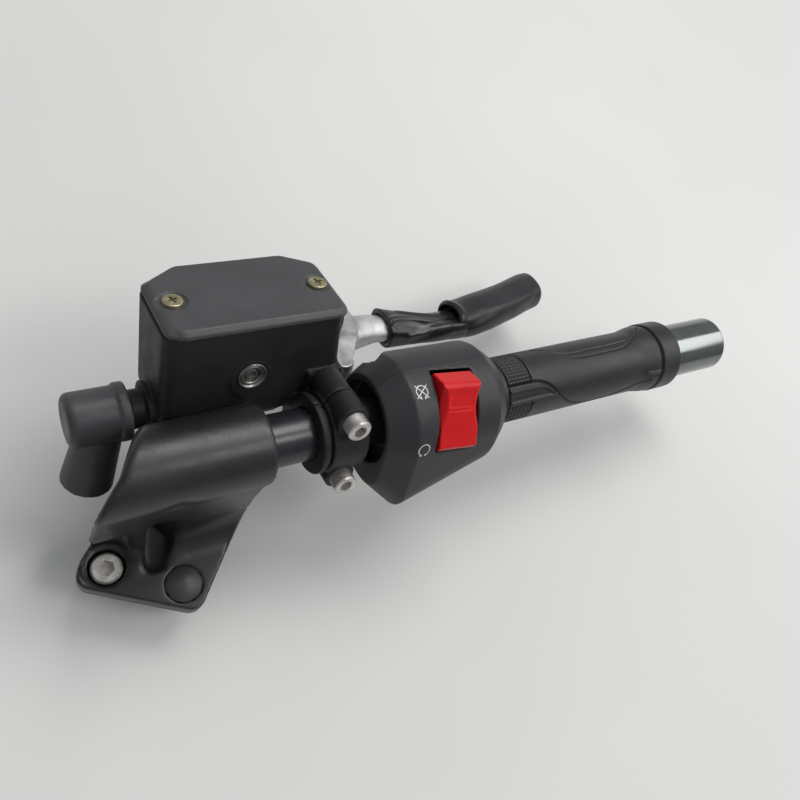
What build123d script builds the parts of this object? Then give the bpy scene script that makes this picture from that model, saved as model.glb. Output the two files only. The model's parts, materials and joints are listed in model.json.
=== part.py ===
from build123d import *
import os
from math import cos, hypot, radians, sin, sqrt, tan

# Right-hand handlebar assembly of a sport moped, in millimetres.
# Row frame: origin at the centre of the bracket's foot seat, +X along the two foot holes, +Z up off the seat.
# Bar frame: u outboard along the bar, v forward away from the rider, w up out of the reservoir cap.

# Fasteners: thread radius, head radius, head height, socket across flats
m5 = (2.5, 4.25, 5.0, 4.0)
m6 = (3.0, 5.0, 6.0, 5.0)
m8 = (4.0, 6.5, 8.0, 6.0)
thread_fit = 0.05
hole_fit = 0.25

# Bar, and how it stands over the foot seat
bar_r = 11.1
bar_wall = 2.5
bar_origin = (-10.5, 28.1, 65.7)
bar_sweep = 29.9
bar_droop = 5.0
cap_lean = 25.0

# Bracket: foot
foot_pitch = 32.0
foot_thick = 12.0
foot_hole_r = m8[0] + hole_fit
foot_corner_r = 6.0
foot_past_bolt = 11.0
foot_past_plug = 9.5
foot_behind = 10.0
seat_bore_r = 7.5
seat_bore_depth = 8.5
spot_r = 10.5
spot_rise = 25.0

# Bracket: socket, web, slanted inboard end and the scooped groove up its back
socket_r = 16.75
socket_face_x = -18.2
socket_end = 46.3
socket_bevel = 0.5
socket_floor = 1.7
web_step = 0.25
web_front = 4.0
web_outer_low = 41.0
web_outer_high = 43.0
web_foot_r = 14.0
end_face_x = -27.7
end_face_turn = 14.3
end_face_lean = 3.3
end_face_bevel = 2.4
strip_bite = 1.0
groove_r = 4.6
groove_near = (0.8, 6.9)
groove_reach = 7.9
groove_depth = 3.0
groove_rise = (11.6, 1.0, 33.0)
groove_length = 44.0

# Foot bolts below the seat, and the domed plug over the outboard one
plug_r = 7.9
plug_rise = 3.0
plug_stem_r = 2.8
plug_stem = 3.5
stud_below = 18.0
shank_r = 3.6
shank_below = 0.3

# Clamp round the bar
clamp_start = 65.7
clamp_width = 20.6
clamp_wall = 6.2
clamp_fit = 0.02
clamp_rim = 3.0
clamp_groove = 1.6
clamp_groove_depth = 2.3
clamp_split = -0.5
clamp_gap = 0.6
clamp_boss_r = 6.8
clamp_boss = 13.5
clamp_bolt_inset = 8.3
clamp_bolt_clear = 1.9
clamp_bolt_reach = 12.0
clamp_neck_low = -18.0
clamp_neck_high = 20.0

# Master cylinder: reservoir
res_left = 14.3
res_length = 69.3
res_width = 40.1
res_top = 46.1
res_flare = 4.5
res_socket_clear = 1.2
res_tuck = 25.0
res_under_step = 3.0
res_under = 3.0
res_front_low = 20.0
barrel_bite = 1.0
front_cut_u = 13.5
front_cut_v = 8.5
plan_round = 5.0

# Reservoir cap with its two screws
cap_over = 1.6
cap_thick = 3.6
cap_bevel = 1.9
cap_screw_inset = 6.4
cap_screw_back = 1.6
cap_screw_r = 4.0
cap_screw_head = 1.5
cap_screw_round = 0.7
cap_screw_thread_r = 2.0
cap_screw_length = 12.0
cap_dish_r = 5.6
cap_dish_depth = 0.9
cross_slot = 0.9
cross_depth = 1.0
cross_turn = 20.0

# Sight glass in the reservoir's rear wall
glass_u = 46.0
glass_w = 22.7
glass_r = 4.3
glass_ring_r = 6.1
glass_ring_stand = 1.0
glass_depth = 4.0
glass_set_back = 0.5
glass_pad_r = 9.0
glass_pad_drop = 2.2
glass_pad_rise = 0.5

# Master cylinder: barrel and piston
barrel_r = 10.8
barrel_angle = 4.0
barrel_clear = 2.95
barrel_start = 1.5
barrel_end = 82.0
flange_r = 11.0
flange_inset = 7.0
flange_thick = 3.0
piston_r = 5.5
piston_fit = 0.05
piston_in = 24.0
piston_out = 10.0
piston_spare = 12.0
seal_r = 8.2
seal_depth = 5.0
seal_lip = 1.6
seal_gap = 0.35

# Ears and lever root round the pivot
pivot_back = 2.7
lever_arm = 26.5
pivot_fit = 0.05
ear_r = 9.0
ear_thick = 5.0
ear_gap = 0.3
ear_taper = 0.7
ear_root_u = 8.0
ear_root_v = 6.0
root_thick = 12.0
root_r = 8.5
root_clear = 3.0
slot_margin = 1.0
cam_r = 5.0
cam_gap = 0.3
nut_flats = 13.0
nut_thick = 6.5

# Rubber boot over the hose fitting on the inboard end
boot_r = 11.0
boot_length = 23.5
boot_rim_r = 11.9
boot_rim = 4.0
boot_round = 3.0
boot_gap = 0.05
boot_leg_u = -7.1
boot_leg_r = 8.5
boot_mouth_r = 10.6
boot_leg = 36.0
boot_lean = 12.0
boot_hole_r = 5.5
boot_hole_depth = 20.0

# Lever blade from the pivot: u, v, half width in v, half thickness in w, all over the rubber sleeve
blade_w = -5.6
blade = [
    (16.0, 2.6, 12.0, 10.5),
    (29.0, 3.9, 11.0, 8.6),
    (46.0, 0.7, 9.6, 7.4),
    (62.5, -2.2, 8.5, 6.5),
    (69.0, -1.2, 8.7, 6.7),
    (73.0, -0.4, 10.4, 8.0),
    (81.0, 1.0, 10.8, 8.3),
    (97.0, 1.3, 12.0, 9.2),
    (114.5, 6.2, 10.8, 8.3),
    (133.5, 12.8, 11.2, 8.6),
    (141.0, 14.7, 10.6, 8.2),
    (146.0, 15.3, 7.8, 6.0),
]
sleeve_wall = 2.5
sleeve_fit = 0.05

# Switch housing: lengths along the bar, and sections as half width, depth below the bar, lower corner radius
housing_gap = 6.2
inner_bevel = 11.5
outer_bevel = 7.5
housing_length = 62.0
inner_mouth = (21.0, 27.0, 14.0)
inner_shoulder = (28.0, 38.0, 15.0)
outer_shoulder = (27.0, 28.0, 24.0)
outer_ring = (21.5, 21.9, 20.5)
housing_barrel_gap = 0.7
housing_split = -2.0
housing_seam = 0.2
recess_r = 18.5
recess_depth = 7.0
bulkhead = 8.0
cavity_r = 22.0
end_wall = 3.0
front_wall = 2.0
mouth_gap = 0.6
housing_clamp_fit = 0.02
screw_up = 18.5
screw_down = 26.0
screw_seat = 8.0
screw_reach = 20.0

# Kill switch rocker: y up the face and z from the housing's radius, outward positive
rocker_tilt = 37.0
rocker_turn = -6.0
rocker_from_start = 32.1
rocker_half = 9.6
rocker_gap = 0.5
rocker_pivot_depth = 9.5
rocker_pin_r = 1.5
rocker_pin_fit = 0.05
rocker_pin_seat = 3.5
rocker_room_depth = 15.0
rocker_middle = 0.5
rocker_profile = [
    (17.0, -6.0),
    (13.0, 1.8),
    (11.2, 2.8),
    (0.0, rocker_middle),
    (-9.0, -1.1),
    (-14.8, -1.9),
    (-16.0, -4.0),
    (-16.0, -8.5),
    (-6.0, -12.8),
    (6.0, -12.8),
    (14.0, -11.0),
]
# Hollow cheeks that narrow the face: its least half width, their radius, and their slope off its normal
rocker_waist = 7.3
cheek_r = 26.0
cheek_slope = 42.0

# Throttle tube and grip
throttle_fit = 0.05
throttle_wall = 1.75
drum_r = 15.5
drum_width = 8.0
drum_inset = 5.0
drum_rim = 3.0
drum_groove = 2.0
grip_gap = 0.9
grip_length = 119.8
grip_r = 15.87
grip_flare = 13.5
grip_edge = 1.0
collar_width = 12.7
collar_groove = 1.6
collar_groove_r = 16.5
collar_r = 17.9

# Bar end weight
end_gap = 0.6
weight_gap = 0.2
weight_length = 38.9
weight_r = 14.25
weight_round = 1.0
neck_fit = 0.1
neck_length = 20.0
weight_recess_r = 5.6
weight_recess = 7.0
weight_screw_reach = 35.0

# Places along the bar that follow from the sizes above
bar_along_x = cos(radians(bar_droop)) * cos(radians(bar_sweep))
tube_corner_x = bar_origin[0] - bar_r * sqrt(1 - bar_along_x**2)
bar_start = (socket_face_x + socket_floor - tube_corner_x) / bar_along_x
clamp_end = clamp_start + clamp_width
clamp_u = clamp_end - clamp_bolt_inset
clamp_r = bar_r + clamp_wall
clamp_bolt_w = bar_r + m6[0] + clamp_bolt_clear
housing_start = clamp_end + housing_gap
housing_end = housing_start + housing_length
grip_start = housing_end + grip_gap
grip_end = grip_start + grip_length
bar_finish = grip_end + end_gap
weight_start = bar_finish + weight_gap
weight_end = weight_start + weight_length

# Places across the bar
barrel_reach = socket_r + flange_r + barrel_clear
barrel_v = barrel_reach * cos(radians(barrel_angle))
barrel_w = barrel_reach * sin(radians(barrel_angle))
res_rear = (socket_r + res_socket_clear) * cos(radians(res_tuck))
res_rear_low = (socket_r + res_socket_clear) * sin(radians(res_tuck))
res_right = res_left + res_length
res_front = res_rear + res_width
cap_screw_v = (res_rear + res_front) / 2 - cap_screw_back
cam_u = barrel_end + piston_out + cam_gap + cam_r
pivot_u = cam_u + pivot_back
pivot_v = barrel_v + lever_arm
ear_half = root_thick / 2 + ear_gap
housing_flat = barrel_v - barrel_r - housing_barrel_gap
housing_r = inner_shoulder[0]
web_wall = socket_r - web_step
# Longer than the whole assembly, for blocks that cut
beyond = 2 * weight_end
inboard_reach = -beyond / 4
throttle_inner = bar_r + throttle_fit
throttle_outer = throttle_inner + throttle_wall

os.makedirs("parts", exist_ok=True)


# Frames

sweep = radians(bar_sweep)
droop = radians(bar_droop)
bar_dir = Vector(cos(droop) * cos(sweep), cos(droop) * sin(sweep), -sin(droop))
level_up = Vector(sin(droop) * cos(sweep), sin(droop) * sin(sweep), cos(droop))
cap_up = level_up.rotate(Axis((0, 0, 0), tuple(bar_dir)), -cap_lean)
bar_plane = Plane(origin=bar_origin, x_dir=bar_dir, z_dir=cap_up)
# Upright plane through the bar: its x runs level under the bar, its y up and its z towards the rider
web_plane = Plane(origin=bar_origin, x_dir=(cos(sweep), sin(sweep), 0), z_dir=(sin(sweep), -cos(sweep), 0))
# Slanted inboard end face of the bracket, facing away from it
end_plane = Plane(
    origin=(end_face_x, 0, 0),
    z_dir=Vector(-cos(radians(end_face_turn)), sin(radians(end_face_turn)), tan(radians(end_face_lean))),
)
up_from_start = (Align.CENTER, Align.CENTER, Align.MIN)


def in_row(shape):
    """Carry a shape from the bar frame into the row frame."""
    return bar_plane.location * shape


def rod(r, u0, u1, v=0.0, w=0.0):
    """Round bar along u."""
    plane = Plane(origin=(u0, v, w), x_dir=(0, 1, 0), z_dir=(1, 0, 0))
    return plane * Cylinder(r, u1 - u0, align=up_from_start)


def stud(r, start, direction, length):
    """Round bar from a point along a direction."""
    return Plane(origin=start, z_dir=direction) * Cylinder(r, length, align=up_from_start)


def block(u0, u1, v0, v1, w0, w1):
    """Box between two corners."""
    return Pos(u0, v0, w0) * Box(u1 - u0, v1 - v0, w1 - w0, align=(Align.MIN, Align.MIN, Align.MIN))


def socket_screw(size, seat, direction, reach):
    """Socket head cap screw: its head stands off the seat along direction, its shank reaches back in."""
    thread_r, head_r, head_h, flats = size
    screw = stud(head_r, seat, direction, head_h)
    screw = chamfer(screw.edges().sort_by(Axis(seat, direction))[-1], head_h / 10)
    half_way = Vector(*seat) + Vector(*direction) * (head_h / 2)
    hexagon = RegularPolygon(flats / 2, 6, major_radius=False)
    screw -= extrude(Plane(origin=half_way, z_dir=direction) * hexagon, amount=head_h)
    return screw + stud(thread_r, seat, tuple(Vector(*direction) * -1), reach)


# Bracket, in the row frame

def plan_point(s, t):
    """Row x and y of the place s along the bar's level direction and t forward of it."""
    x = bar_origin[0] + s * cos(sweep) - t * sin(sweep)
    y = bar_origin[1] + s * sin(sweep) + t * cos(sweep)
    return (x, y)


def drop_at(s):
    """Fall of the bar axis at s along its level direction."""
    return -s * sin(droop) / cos(droop)


def forward_of_bar(point):
    """How far a row point lies forward of the upright plane through the bar."""
    return (point.Y - bar_origin[1]) * cos(sweep) - (point.X - bar_origin[0]) * sin(sweep)


def make_foot():
    left = -foot_pitch / 2 - foot_past_bolt
    right = foot_pitch / 2 + foot_past_plug
    # Where the web's front line, carried on inboard, meets the foot's left side
    front_s = (left - bar_origin[0] + web_front * sin(sweep)) / cos(sweep)
    outline = Polyline(
        (left, -foot_behind),
        (right, -foot_behind),
        plan_point(web_outer_low, -web_wall),
        plan_point(web_outer_low, web_front),
        plan_point(front_s, web_front),
        close=True,
    )
    foot = extrude(make_face(outline), amount=foot_thick)
    rear_corners = foot.edges().filter_by(Axis.Z).sort_by(Axis.Y)[:2]
    return fillet(rear_corners, foot_corner_r)


def end_block(side):
    """Large block on one side of the slanted end face: Align.MIN past it, Align.MAX on the bracket's side."""
    return end_plane * Box(beyond, beyond, beyond, align=(Align.CENTER, Align.CENTER, side))


def make_web():
    """Upright wall under the socket."""
    low = foot_thick / 2 - bar_origin[2]
    side = Polyline(
        (inboard_reach, low),
        (web_outer_low, low),
        (web_outer_high, drop_at(web_outer_high)),
        (inboard_reach, drop_at(inboard_reach)),
        close=True,
    )
    face = web_plane * make_face(side)
    return extrude(face, amount=web_wall) + extrude(face, amount=-web_front)


def make_web_foot():
    """Hollow-cheeked strip where the web's rear wall runs out onto the foot."""
    low = foot_thick - bar_origin[2]
    across = Plane(
        origin=web_plane.from_local_coords(Vector(inboard_reach, 0, 0)),
        x_dir=web_plane.z_dir,
        z_dir=web_plane.x_dir,
    )
    middle = (web_wall + web_foot_r, -(low + web_foot_r))
    side = web_foot_r + strip_bite
    corner = Pos(web_wall - strip_bite, strip_bite - low) * Rectangle(side, side, align=(Align.MIN, Align.MAX))
    corner -= Pos(*middle) * Circle(web_foot_r)
    return extrude(across * corner, amount=web_outer_low - inboard_reach)


def make_socket():
    """Round socket, ended by the slanted face behind and by an upright face in front, where the tube starts."""
    socket = rod(socket_r, inboard_reach, socket_end)
    socket = in_row(chamfer(socket.edges().sort_by(Axis.X)[-1], socket_bevel))
    return socket - (end_block(Align.MIN) & block(-beyond, socket_face_x, -beyond, beyond, -beyond, beyond))


def bevel_end_faces(body):
    """Bevel the slanted face's rear edges and the upright face's round edge."""
    slanted = body.faces().filter_by(lambda f: abs(end_plane.to_local_coords(f.center()).Z) < 0.01)
    edges = slanted.edges().filter_by(lambda e: forward_of_bar(e.center()) < -socket_r / 2)
    upright = body.faces().filter_by(lambda f: abs(f.center().X - socket_face_x) < 0.01)
    edges += upright.edges().filter_by(GeomType.ELLIPSE)
    return chamfer(edges, end_face_bevel)


def groove_cutter():
    """Slot that scoops the foot and the web's rear face and runs out of the face near the top."""
    near = Vector(*groove_near, foot_thick - groove_depth)
    far = near + Vector(0, groove_reach, 0)
    rise = Vector(*groove_rise).normalized()
    side = Plane(origin=(near + far) / 2, x_dir=(0, 1, 0), z_dir=(0, 0, 1))
    slot = side * SlotCenterToCenter(groove_reach, 2 * groove_r)
    return extrude(slot, amount=groove_length, dir=tuple(rise))


def make_bracket():
    foot = make_foot()
    above_foot = extrude(foot.faces().sort_by(Axis.Z)[-1], amount=web_foot_r)
    body = bevel_end_faces(make_socket() + (make_web() & end_block(Align.MAX)))
    body += (foot + (make_web_foot() & above_foot)) & end_block(Align.MAX)
    body -= stud(spot_r, (-foot_pitch / 2, 0, foot_thick), (0, 0, 1), spot_rise)
    body -= groove_cutter()
    body -= in_row(rod(bar_r + clamp_fit, bar_start, socket_end + 1))
    for x in (-foot_pitch / 2, foot_pitch / 2):
        body -= stud(foot_hole_r, (x, 0, -1), (0, 0, 1), foot_thick + 2)
        body -= stud(seat_bore_r, (x, 0, foot_thick - seat_bore_depth), (0, 0, 1), foot_thick + seat_bore_depth)
    return body


def make_foot_bolt(x):
    """Socket screw whose shank is thinner than its thread where it passes the foot."""
    under_head = foot_thick - seat_bore_depth
    bolt = socket_screw(m8, (x, 0, under_head), (0, 0, 1), under_head + stud_below)
    passing = (0, 0, -1), under_head + shank_below
    waist = stud(foot_hole_r, (x, 0, under_head), *passing) - stud(shank_r, (x, 0, under_head), *passing)
    return bolt - waist


def make_foot_plug():
    dome_r = (plug_r**2 + plug_rise**2) / (2 * plug_rise)
    dome = (Pos(0, 0, plug_rise - dome_r) * Sphere(dome_r)) & Cylinder(plug_r, plug_rise, align=up_from_start)
    stem = stud(plug_stem_r, (0, 0, 0), (0, 0, -1), plug_stem)
    return Pos(foot_pitch / 2, 0, foot_thick) * (dome + stem)


# Master cylinder, in the bar frame as all that follows

def plan_face(w, grow, flare=0.0):
    """Reservoir outline from above at one height, its front corners cut back, its outboard side flared."""
    left = res_left - grow
    right = res_right + grow + flare
    rear = res_rear - grow
    front = res_front + grow
    outline = Polyline(
        (left, rear),
        (right, rear),
        (right, front - front_cut_v),
        (right - front_cut_u, front),
        (left + front_cut_u, front),
        (left, front - front_cut_v),
        close=True,
    )
    face = make_face(outline)
    return Pos(0, 0, w) * fillet(face.vertices(), plan_round + grow / 2)


def make_reservoir():
    """Box under the cap, tucked in below to clear the bracket's socket and to meet the barrel."""
    full = loft([plan_face(barrel_w, 0, res_flare), plan_face(res_top, 0)], ruled=True)
    side = Polyline(
        (0, res_top),
        (res_front + res_rear, res_top),
        (res_front + res_rear, res_front_low),
        (barrel_v + barrel_r - barrel_bite, barrel_w),
        (barrel_v - barrel_r + barrel_bite, barrel_w),
        (res_rear + res_under_step, res_under),
        (res_rear, res_rear_low),
        (0, res_rear_low + res_rear),
        close=True,
    )
    across = Plane.YZ
    return full & extrude(across * make_face(side), amount=2 * res_right)


def clamp_band(low, high):
    """Grooved band round the bar between two values of v, with its two bolt bosses."""
    band = rod(clamp_r, clamp_start, clamp_end)
    groove_start = clamp_start + clamp_rim
    ring = rod(clamp_r + 1, groove_start, groove_start + clamp_groove)
    band -= ring - rod(clamp_r - clamp_groove_depth, clamp_start, clamp_end)
    for w in (-clamp_bolt_w, clamp_bolt_w):
        band += stud(clamp_boss_r, (clamp_u, -clamp_boss, w), (0, 1, 0), 2 * clamp_boss)
    band = band & block(clamp_start, clamp_end, low, high, -beyond, beyond)
    return band - rod(bar_r + clamp_fit, clamp_start - 1, clamp_end + 1)


def clamp_neck():
    """Web that ties the front half of the clamp to the barrel and the reservoir."""
    start = clamp_start + clamp_rim + clamp_groove
    neck = block(start, clamp_end, (bar_r + clamp_r) / 2, barrel_v, clamp_neck_low, clamp_neck_high)
    return neck - rod(bar_r + clamp_fit, clamp_start, clamp_end + 1)


def make_ears():
    """Two flat arms from the barrel to the lever's pivot."""
    side = ear_taper * ear_r
    arm = make_face(
        Polyline(
            (clamp_end - ear_root_u, barrel_v - ear_root_v),
            (clamp_end, barrel_v - ear_root_v),
            (pivot_u + side, pivot_v - side),
            (pivot_u - side, pivot_v + side),
            (clamp_end - ear_root_u, barrel_v + barrel_r),
            close=True,
        )
    )
    ears = None
    for low in (barrel_w - ear_half - ear_thick, barrel_w + ear_half):
        ear = Pos(0, 0, low) * extrude(arm, amount=ear_thick)
        ear += stud(ear_r, (pivot_u, pivot_v, low), (0, 0, 1), ear_thick)
        ears = ear if ears is None else ears + ear
    return ears


def cap_screw_places():
    return (res_left - cap_over + cap_screw_inset, res_right + cap_over - cap_screw_inset)


def make_master_cylinder():
    body = make_reservoir()
    body += rod(barrel_r, barrel_start, barrel_end, barrel_v, barrel_w)
    flange_start = barrel_start + flange_inset
    body += rod(flange_r, flange_start, flange_start + flange_thick, barrel_v, barrel_w)
    body += clamp_band(clamp_split, barrel_v)
    body += clamp_neck()
    body += make_ears()
    glass_back = res_rear + glass_depth
    pad_start = (glass_u, glass_back, glass_w - glass_pad_drop)
    body += stud(glass_pad_r, pad_start, (0, -1, 0), glass_depth + glass_pad_rise)

    low = barrel_w - ear_half
    slot_rear = barrel_v - barrel_r - slot_margin
    body -= block(barrel_end, beyond, slot_rear, beyond, low, low + 2 * ear_half)
    body -= stud(root_r + root_clear, (pivot_u, pivot_v, low), (0, 0, 1), 2 * ear_half)
    under_ears = (pivot_u, pivot_v, low - 2 * ear_thick)
    body -= stud(m8[0] + hole_fit, under_ears, (0, 0, 1), 2 * (root_thick + ear_thick))
    bore_start = barrel_end - piston_in - piston_spare
    body -= rod(piston_r + piston_fit, bore_start, barrel_end + 1, barrel_v, barrel_w)
    body -= rod(seal_r, barrel_end - seal_depth, barrel_end + seal_lip + seal_gap, barrel_v, barrel_w)
    body -= stud(glass_ring_r, (glass_u, glass_back, glass_w), (0, -1, 0), glass_back)
    for u in cap_screw_places():
        body -= stud(cap_screw_thread_r, (u, cap_screw_v, res_top + 1), (0, 0, -1), cap_screw_length + 1)
    for w in (-clamp_bolt_w, clamp_bolt_w):
        body -= stud(m6[0] + thread_fit, (clamp_u, clamp_split - 1, w), (0, 1, 0), clamp_bolt_reach + 1)
    return body


def make_cap():
    cap = extrude(plan_face(res_top, cap_over), amount=cap_thick)
    cap = chamfer(cap.faces().sort_by(Axis.Z)[-1].edges(), cap_bevel)
    dish = res_top + cap_thick - cap_dish_depth
    for u in cap_screw_places():
        cap -= stud(cap_dish_r, (u, cap_screw_v, dish), (0, 0, 1), cap_thick)
        cap -= stud(cap_screw_thread_r + thread_fit, (u, cap_screw_v, res_top - 1), (0, 0, 1), cap_thick + 2)
    return cap


def make_cap_screw(u):
    seat = res_top + cap_thick - cap_dish_depth
    head = stud(cap_screw_r, (u, cap_screw_v, seat), (0, 0, 1), cap_screw_head)
    head = fillet(head.edges().sort_by(Axis.Z)[-1], cap_screw_round)
    for turn in (cross_turn, cross_turn + 90):
        slot = Box(cap_screw_r, cross_slot, cap_screw_head, align=up_from_start)
        head -= Pos(u, cap_screw_v, seat + cap_screw_head - cross_depth) * Rot(0, 0, turn) * slot
    return head + stud(cap_screw_thread_r - thread_fit, (u, cap_screw_v, seat), (0, 0, -1), cap_screw_length)


def make_glass_ring():
    start = (glass_u, res_rear + glass_depth, glass_w)
    ring = stud(glass_ring_r - thread_fit, start, (0, -1, 0), glass_depth + glass_ring_stand)
    return ring - stud(glass_r, start, (0, -1, 0), 2 * glass_depth + glass_ring_stand)


def make_glass():
    start = (glass_u, res_rear + glass_depth, glass_w)
    return stud(glass_r - thread_fit, start, (0, -1, 0), glass_depth - glass_set_back)


def make_clamp_cap():
    cap = clamp_band(-2 * clamp_r, clamp_split - clamp_gap)
    for w in (-clamp_bolt_w, clamp_bolt_w):
        cap -= stud(m6[0] + hole_fit, (clamp_u, -3 * clamp_boss, w), (0, 1, 0), 4 * clamp_boss)
    return cap


def make_clamp_bolt(w):
    reach = clamp_boss + clamp_split + clamp_bolt_reach - 1
    return socket_screw(m6, (clamp_u, -clamp_boss, w), (0, -1, 0), reach)


def make_piston():
    return rod(piston_r, barrel_end - piston_in, barrel_end + piston_out, barrel_v, barrel_w)


def make_dust_seal():
    ring = rod(seal_r - thread_fit, barrel_end - seal_depth, barrel_end + seal_lip, barrel_v, barrel_w)
    passage = rod(piston_r + seal_gap, barrel_end - 2 * seal_depth, barrel_end + seal_depth, barrel_v, barrel_w)
    return ring - passage


def make_hose_boot():
    end = barrel_start - boot_gap
    body = rod(boot_r, barrel_start - boot_length, end, barrel_v, barrel_w)
    body = fillet(body.edges().sort_by(Axis.X)[0], boot_round)
    body += rod(boot_rim_r, end - boot_rim, end, barrel_v, barrel_w)
    lean = radians(boot_lean)
    down = Vector(-sin(lean), 0, -cos(lean))
    top = Vector(boot_leg_u, barrel_v, barrel_w)
    leg = Cone(boot_leg_r, boot_mouth_r, boot_leg, align=up_from_start)
    body += Plane(origin=top, x_dir=(cos(lean), 0, -sin(lean)), z_dir=down) * leg
    return body - stud(boot_hole_r, tuple(top + down * boot_leg), tuple(down * -1), boot_hole_depth)


# Brake lever

def blade_oval(row, inset):
    du, dv, half_v, half_w = row
    plane = Plane(origin=(pivot_u + du, pivot_v + dv, barrel_w + blade_w), x_dir=(0, 1, 0), z_dir=(1, 0, 0))
    return plane * Ellipse(half_v - inset, half_w - inset)


def blade_loft(rows, inset):
    """Ruled bar through the table's ovals, set in from the sleeve's outside."""
    body = None
    for near, far in zip(rows, rows[1:]):
        piece = loft([blade_oval(near, inset), blade_oval(far, inset)], ruled=True)
        body = piece if body is None else body + piece
    return body


def make_lever():
    bottom = barrel_w - root_thick / 2
    du, dv, half_v, _ = blade[0]
    root = make_face(
        Polyline(
            (cam_u - cam_r, barrel_v),
            (cam_u + cam_r, barrel_v),
            (pivot_u + du + 1, pivot_v + dv - half_v + 2 * sleeve_wall),
            (pivot_u + du + 1, pivot_v + dv + half_v - 2 * sleeve_wall),
            (pivot_u, pivot_v + root_r),
            (pivot_u - root_r, pivot_v),
            close=True,
        )
    )
    body = Pos(0, 0, bottom) * extrude(root, amount=root_thick)
    body += stud(root_r, (pivot_u, pivot_v, bottom), (0, 0, 1), root_thick)
    body += stud(cam_r, (cam_u, barrel_v, bottom), (0, 0, 1), root_thick)
    body += blade_loft(blade[:-1], sleeve_wall)
    return body - stud(m8[0] + pivot_fit, (pivot_u, pivot_v, bottom - 1), (0, 0, 1), root_thick + 2)


def make_sleeve():
    outer = blade_loft(blade[1:], 0)
    return outer - blade_loft(blade[:-1], sleeve_wall - sleeve_fit)


def make_pivot_bolt():
    top = barrel_w + ear_half + ear_thick
    reach = 2 * (ear_half + ear_thick) + nut_thick
    return socket_screw(m8, (pivot_u, pivot_v, top), (0, 0, 1), reach)


def make_pivot_nut():
    low = barrel_w - ear_half - ear_thick
    hexagon = RegularPolygon(nut_flats / 2, 6, major_radius=False)
    nut = extrude(Plane(origin=(pivot_u, pivot_v, low), z_dir=(0, 0, -1)) * hexagon, amount=nut_thick)
    return nut - stud(m8[0] + thread_fit, (pivot_u, pivot_v, low + 1), (0, 0, -1), nut_thick + 2)


# Switch housing

def housing_face(u, half, depth, corner):
    """Section of the housing: round over the bar, square below it with rounded corners."""
    left = Line((-half, 0), (-half, corner - depth))
    low_left = CenterArc((corner - half, corner - depth), corner, 180, 90)
    low = Line((corner - half, -depth), (half - corner, -depth))
    low_right = CenterArc((half - corner, corner - depth), corner, 270, 90)
    right = Line((half, corner - depth), (half, 0))
    top = CenterArc((0, 0), half, 0, 180)
    outline = Wire([edge.edge() for edge in (top, left, low_left, low, low_right, right)])
    return Plane(origin=(u, 0, 0), x_dir=(0, 1, 0), z_dir=(1, 0, 0)) * make_face(outline)


def make_housing_body():
    """Lofted shell, flat in front, with an open inboard mouth, a clamping bulkhead and the throttle's room."""
    faces = [
        housing_face(housing_start, *inner_mouth),
        housing_face(housing_start + inner_bevel, *inner_shoulder),
        housing_face(housing_end - outer_bevel, *outer_shoulder),
        housing_face(housing_end, *outer_ring),
    ]
    body = None
    for near, far in zip(faces, faces[1:]):
        piece = loft([near, far], ruled=True)
        body = piece if body is None else body + piece
    body -= block(housing_start - 1, housing_end + 1, housing_flat, beyond, -beyond, beyond)
    inner = housing_start + recess_depth
    body -= rod(recess_r, housing_start - 1, inner)
    body -= rod(bar_r + housing_clamp_fit, inner - 1, inner + bulkhead + 1)
    room = rod(cavity_r, inner + bulkhead, housing_end - end_wall)
    body -= room & block(housing_start, housing_end, -beyond, housing_flat - front_wall, -beyond, beyond)
    return body - rod(throttle_outer + mouth_gap, housing_end - end_wall - 1, housing_end + 1)


def switch_plane():
    """Plane of the rocker's face: its x across the rocker, its y up the face, its z out of the housing."""
    tilt = radians(rocker_tilt)
    turn = radians(rocker_turn)
    return Plane(
        origin=(housing_start + rocker_from_start, 0, 0),
        x_dir=(cos(turn), sin(turn) * sin(tilt), sin(turn) * cos(tilt)),
        z_dir=(0, -cos(tilt), sin(tilt)),
    )


def rocker_pivot_z():
    return housing_r - rocker_pivot_depth


def rocker_room():
    """Window for the rocker, long enough for its top corner to swing through."""
    top_y, top_z = rocker_profile[0]
    top = hypot(top_y, top_z + rocker_pivot_depth) + rocker_gap
    low = min(y for y, z in rocker_profile) - rocker_gap
    width = 2 * (rocker_half + rocker_gap)
    window = Box(width, top - low, 2 * rocker_room_depth, align=up_from_start)
    return switch_plane() * (Pos(0, (top + low) / 2, housing_r - rocker_room_depth) * window)


def rocker_pin_line(r, half):
    face = switch_plane()
    start = face.from_local_coords(Vector(-half, 0, rocker_pivot_z()))
    return stud(r, tuple(start), tuple(face.x_dir), 2 * half)


def screw_places():
    """Middle of the bulkhead, above and below the bar."""
    u = housing_start + recess_depth + bulkhead / 2
    return ((u, screw_up), (u, -screw_down))


def make_housing_rear(body):
    rear = body & block(0, beyond, -beyond, housing_split - housing_seam / 2, -beyond, beyond)
    rear -= rocker_room()
    rear -= rocker_pin_line(rocker_pin_r + rocker_pin_fit, rocker_half + rocker_pin_seat + 0.5)
    for u, w in screw_places():
        rear -= stud(m5[0] + thread_fit, (u, screw_seat, w), (0, -1, 0), screw_reach + 1)
    return rear


def make_housing_front(body):
    front = body & block(0, beyond, housing_split + housing_seam / 2, beyond, -beyond, beyond)
    front -= rocker_room()
    for u, w in screw_places():
        front -= stud(m5[0] + hole_fit, (u, screw_seat - screw_reach, w), (0, 1, 0), 3 * screw_reach)
        front -= stud(m5[1] + hole_fit, (u, screw_seat, w), (0, 1, 0), 3 * screw_reach)
    return front


def make_housing_screw(place):
    u, w = place
    return socket_screw(m5, (u, screw_seat, w), (0, 1, 0), screw_reach)


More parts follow.
